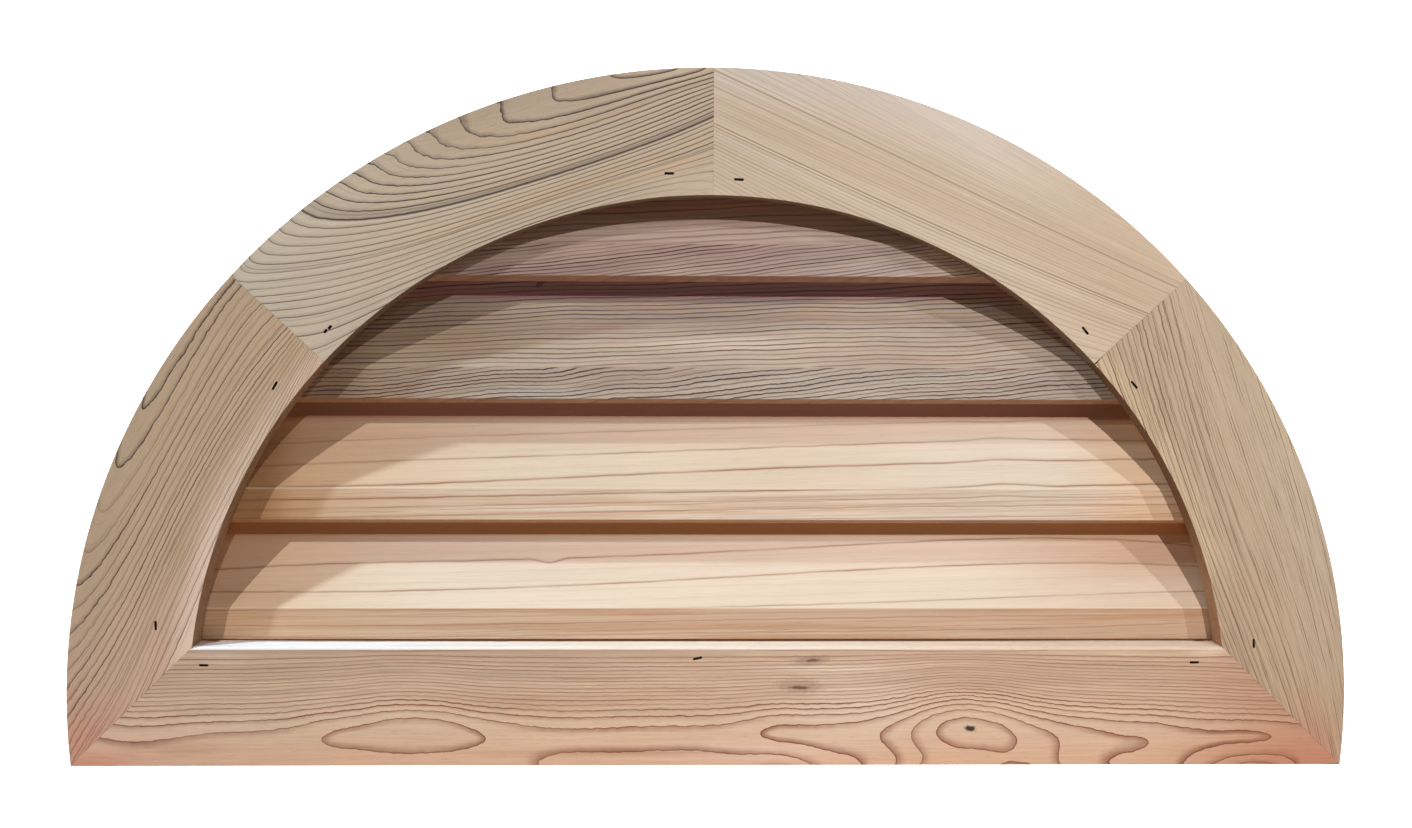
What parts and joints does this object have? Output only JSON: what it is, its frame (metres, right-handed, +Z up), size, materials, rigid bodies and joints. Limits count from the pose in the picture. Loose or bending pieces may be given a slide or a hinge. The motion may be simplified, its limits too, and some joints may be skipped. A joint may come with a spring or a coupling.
{
  "type": "half-round wooden gable vent",
  "caption": "Half-round louvered gable vent in natural cedar, with mitred flat trim over a shallow half-round sleeve that holds sloping blades.",
  "frame": {"origin": "centre of the arch, on the flat back face of the trim that bears on the wall", "axes": "+X to the right seen from outside the building, +Y back into the wall, +Z up"},
  "size_m": [0.942, 0.066, 0.5055],
  "materials": {
    "cedar_tan": "bare planed cedar, matt",
    "cedar_cream": "bare planed cedar, matt",
    "cedar_rose": "bare planed cedar, matt",
    "cedar_weathered": "bare cedar greyed by weather, matt",
    "staple_wire": "dark coated wire, set just below the surface"
  },
  "bodies": {
    "root": {"bottom_rail": "cedar_rose", "trim_lower_left": "cedar_tan", "trim_upper_left": "cedar_weathered", "trim_upper_right": "cedar_cream", "trim_lower_right": "cedar_tan", "sleeve_sill": "cedar_rose", "sleeve_front_left": "cedar_tan", "sleeve_front_top": "cedar_tan", "sleeve_front_right": "cedar_tan", "sleeve_back_lower_left": "cedar_tan", "sleeve_back_upper_left": "cedar_tan", "sleeve_back_upper_right": "cedar_tan", "sleeve_back_lower_right": "cedar_tan", "louver_1": "cedar_weathered", "louver_2": "cedar_weathered", "louver_3": "cedar_cream", "louver_4": "cedar_cream"}
  },
  "joints": []
}
